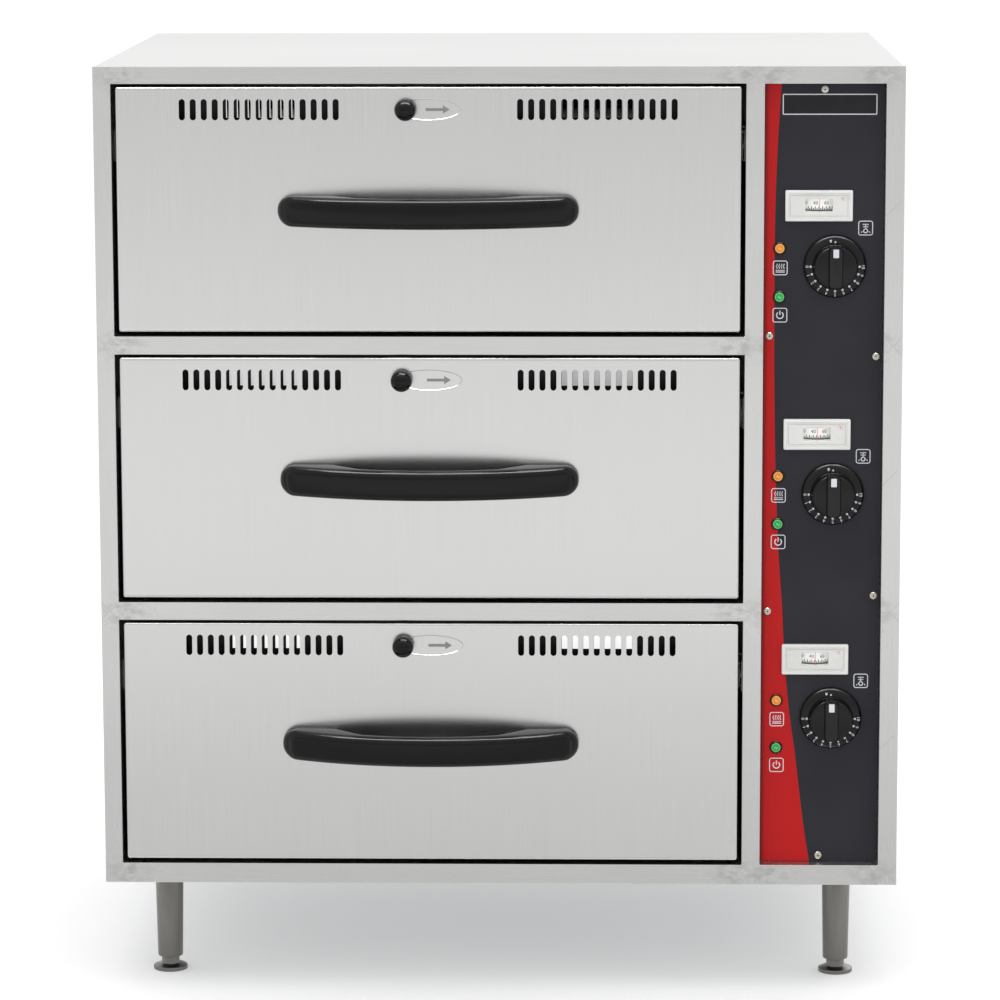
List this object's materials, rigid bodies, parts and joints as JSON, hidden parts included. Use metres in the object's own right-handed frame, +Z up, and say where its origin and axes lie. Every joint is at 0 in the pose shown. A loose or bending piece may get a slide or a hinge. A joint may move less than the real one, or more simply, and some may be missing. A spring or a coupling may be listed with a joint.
{
  "type": "warming drawer cabinet",
  "caption": "Free-standing food warming cabinet with stacked pull-out heated drawers, sliding vents and a dial control panel on the right.",
  "frame": {"origin": "on the floor, at the middle of the footprint of the whole object, handles and inlet gland included", "axes": "+Z up, the drawers open towards -Y, +X to the right as seen from the front"},
  "size_m": [0.745, 0.642, 0.87],
  "materials": {
    "stainless": "brushed stainless steel sheet",
    "inner_steel": "mill finish stainless sheet",
    "galvanised": "galvanised sheet",
    "insulation": "mineral wool slab",
    "heater_sheath": "oxidised heater sheath",
    "thermostat_case": "pressed thermostat case",
    "sensor_copper": "nickel plated copper",
    "white_plastic": "glossy white moulding",
    "clear_lens": "clear polycarbonate",
    "scale_drum": "printed scale drum",
    "black_plastic": "glossy black phenolic",
    "knob_plastic": "black moulding",
    "amber_lens": "amber lamp lens",
    "green_lens": "green lamp lens",
    "control_panel": "charcoal and red printed panel",
    "screw_steel": "plated screw",
    "nylon": "natural nylon roller",
    "block_plastic": "terminal block moulding",
    "gland_plastic": "black nylon gland",
    "pan_steel": "polished stainless pan"
  },
  "bodies": {
    "cabinet": {"outer_wrapper": "stainless", "base_pan": "galvanised", "front_frame": "stainless", "inner_liner": "inner_steel", "dividers": "inner_steel", "partition": "galvanised", "insulation": "insulation", "rear_panel": "stainless", "cord_gland": "gland_plastic", "terminal_block": "block_plastic", "control_plate": "control_panel", "panel_screws": "screw_steel", "thermostats": "thermostat_case", "thermostat_bulbs": "sensor_copper", "heating_elements": "heater_sheath", "thermometer_cases": "white_plastic", "thermometer_lenses": "clear_lens", "lamp_bezels": "black_plastic", "amber_lenses": "amber_lens", "green_lenses": "green_lens", "drawer_tracks": "inner_steel", "leg_plates": "galvanised", "legs": "stainless"},
    "drawer_1": {"drawer_front_1": "stainless", "drawer_carriage_1": "inner_steel", "food_pan_1": "pan_steel", "handle_1": "black_plastic"},
    "drawer_2": {"drawer_front_2": "stainless", "drawer_carriage_2": "inner_steel", "food_pan_2": "pan_steel", "handle_2": "black_plastic"},
    "drawer_3": {"drawer_front_3": "stainless", "drawer_carriage_3": "inner_steel", "food_pan_3": "pan_steel", "handle_3": "black_plastic"},
    "vent_1": {"vent_damper_1": "inner_steel", "vent_knob_1": "black_plastic"},
    "vent_2": {"vent_damper_2": "inner_steel", "vent_knob_2": "black_plastic"},
    "vent_3": {"vent_damper_3": "inner_steel", "vent_knob_3": "black_plastic"},
    "cabinet_rollers_1_turning": {"cabinet_rollers_1": "nylon"},
    "drawer_rollers_1_turning": {"drawer_rollers_1": "nylon"},
    "cabinet_rollers_2_turning": {"cabinet_rollers_2": "nylon"},
    "drawer_rollers_2_turning": {"drawer_rollers_2": "nylon"},
    "cabinet_rollers_3_turning": {"cabinet_rollers_3": "nylon"},
    "drawer_rollers_3_turning": {"drawer_rollers_3": "nylon"},
    "control_knob_1": {"knob_1": "knob_plastic"},
    "control_knob_2": {"knob_2": "knob_plastic"},
    "control_knob_3": {"knob_3": "knob_plastic"},
    "scale_drum_1": {"thermometer_drum_1": "scale_drum"},
    "scale_drum_2": {"thermometer_drum_2": "scale_drum"},
    "scale_drum_3": {"thermometer_drum_3": "scale_drum"},
    "levelling_foot_fl": {"foot_fl": "stainless"},
    "levelling_foot_fr": {"foot_fr": "stainless"},
    "levelling_foot_rl": {"foot_rl": "stainless"},
    "levelling_foot_rr": {"foot_rr": "stainless"}
  },
  "joints": [
    {"name": "drawer_1_slide", "type": "slide", "parent": "cabinet", "child": "drawer_1", "axis": [0, -1, 0], "range_m": [0, 0.37]},
    {"name": "drawer_2_slide", "type": "slide", "parent": "cabinet", "child": "drawer_2", "axis": [0, -1, 0], "range_m": [0, 0.37]},
    {"name": "drawer_3_slide", "type": "slide", "parent": "cabinet", "child": "drawer_3", "axis": [0, -1, 0], "range_m": [0, 0.37]},
    {"name": "vent_1_slide", "type": "slide", "parent": "drawer_1", "child": "vent_1", "axis": [1, 0, 0], "range_m": [-0.00505, 0]},
    {"name": "vent_2_slide", "type": "slide", "parent": "drawer_2", "child": "vent_2", "axis": [1, 0, 0], "range_m": [0, 0.00505]},
    {"name": "vent_3_slide", "type": "slide", "parent": "drawer_3", "child": "vent_3", "axis": [1, 0, 0], "range_m": [0, 0.00505]},
    {"name": "cabinet_rollers_1_turn", "type": "hinge", "parent": "cabinet", "child": "cabinet_rollers_1_turning", "pos_m": [-0.0645, -0.217, 0.793], "axis": [1, 0, 0], "continuous": true},
    {"name": "drawer_rollers_1_turn", "type": "hinge", "parent": "drawer_1", "child": "drawer_rollers_1_turning", "pos_m": [-0.0645, 0.181, 0.793], "axis": [1, 0, 0], "continuous": true},
    {"name": "cabinet_rollers_2_turn", "type": "hinge", "parent": "cabinet", "child": "cabinet_rollers_2_turning", "pos_m": [-0.0645, -0.217, 0.543], "axis": [1, 0, 0], "continuous": true},
    {"name": "drawer_rollers_2_turn", "type": "hinge", "parent": "drawer_2", "child": "drawer_rollers_2_turning", "pos_m": [-0.0645, 0.181, 0.543], "axis": [1, 0, 0], "continuous": true},
    {"name": "cabinet_rollers_3_turn", "type": "hinge", "parent": "cabinet", "child": "cabinet_rollers_3_turning", "pos_m": [-0.0645, -0.217, 0.293], "axis": [1, 0, 0], "continuous": true},
    {"name": "drawer_rollers_3_turn", "type": "hinge", "parent": "drawer_3", "child": "drawer_rollers_3_turning", "pos_m": [-0.0645, 0.181, 0.293], "axis": [1, 0, 0], "continuous": true},
    {"name": "knob_1_turn", "type": "hinge", "parent": "cabinet", "child": "control_knob_1", "pos_m": [0.31, -0.254, 0.685], "axis": [0, 1, 0], "range_deg": [0, 270]},
    {"name": "knob_2_turn", "type": "hinge", "parent": "cabinet", "child": "control_knob_2", "pos_m": [0.31, -0.254, 0.4723], "axis": [0, 1, 0], "range_deg": [0, 270]},
    {"name": "knob_3_turn", "type": "hinge", "parent": "cabinet", "child": "control_knob_3", "pos_m": [0.31, -0.254, 0.2596], "axis": [0, 1, 0], "range_deg": [0, 270]},
    {"name": "scale_drum_1_turn", "type": "hinge", "parent": "cabinet", "child": "scale_drum_1", "pos_m": [0.2949, -0.2354, 0.741], "axis": [0, 0, 1], "range_deg": [0, 240]},
    {"name": "scale_drum_2_turn", "type": "hinge", "parent": "cabinet", "child": "scale_drum_2", "pos_m": [0.2949, -0.2354, 0.5283], "axis": [0, 0, 1], "range_deg": [0, 240]},
    {"name": "scale_drum_3_turn", "type": "hinge", "parent": "cabinet", "child": "scale_drum_3", "pos_m": [0.2949, -0.2354, 0.3156], "axis": [0, 0, 1], "range_deg": [0, 240]},
    {"name": "foot_fl_turn", "type": "hinge", "parent": "cabinet", "child": "levelling_foot_fl", "pos_m": [-0.3195, -0.199, 0], "axis": [0, 0, 1], "continuous": true},
    {"name": "foot_fr_turn", "type": "hinge", "parent": "cabinet", "child": "levelling_foot_fr", "pos_m": [0.3195, -0.199, 0], "axis": [0, 0, 1], "continuous": true},
    {"name": "foot_rl_turn", "type": "hinge", "parent": "cabinet", "child": "levelling_foot_rl", "pos_m": [-0.3195, 0.243, 0], "axis": [0, 0, 1], "continuous": true},
    {"name": "foot_rr_turn", "type": "hinge", "parent": "cabinet", "child": "levelling_foot_rr", "pos_m": [0.3195, 0.243, 0], "axis": [0, 0, 1], "continuous": true}
  ],
  "couplings": [
    {"joint": "cabinet_rollers_1_turn", "follows": "drawer_1_slide", "rad_per_m": 76.923},
    {"joint": "drawer_rollers_1_turn", "follows": "drawer_1_slide", "rad_per_m": 76.923},
    {"joint": "cabinet_rollers_2_turn", "follows": "drawer_2_slide", "rad_per_m": 76.923},
    {"joint": "drawer_rollers_2_turn", "follows": "drawer_2_slide", "rad_per_m": 76.923},
    {"joint": "cabinet_rollers_3_turn", "follows": "drawer_3_slide", "rad_per_m": 76.923},
    {"joint": "drawer_rollers_3_turn", "follows": "drawer_3_slide", "rad_per_m": 76.923}
  ]
}
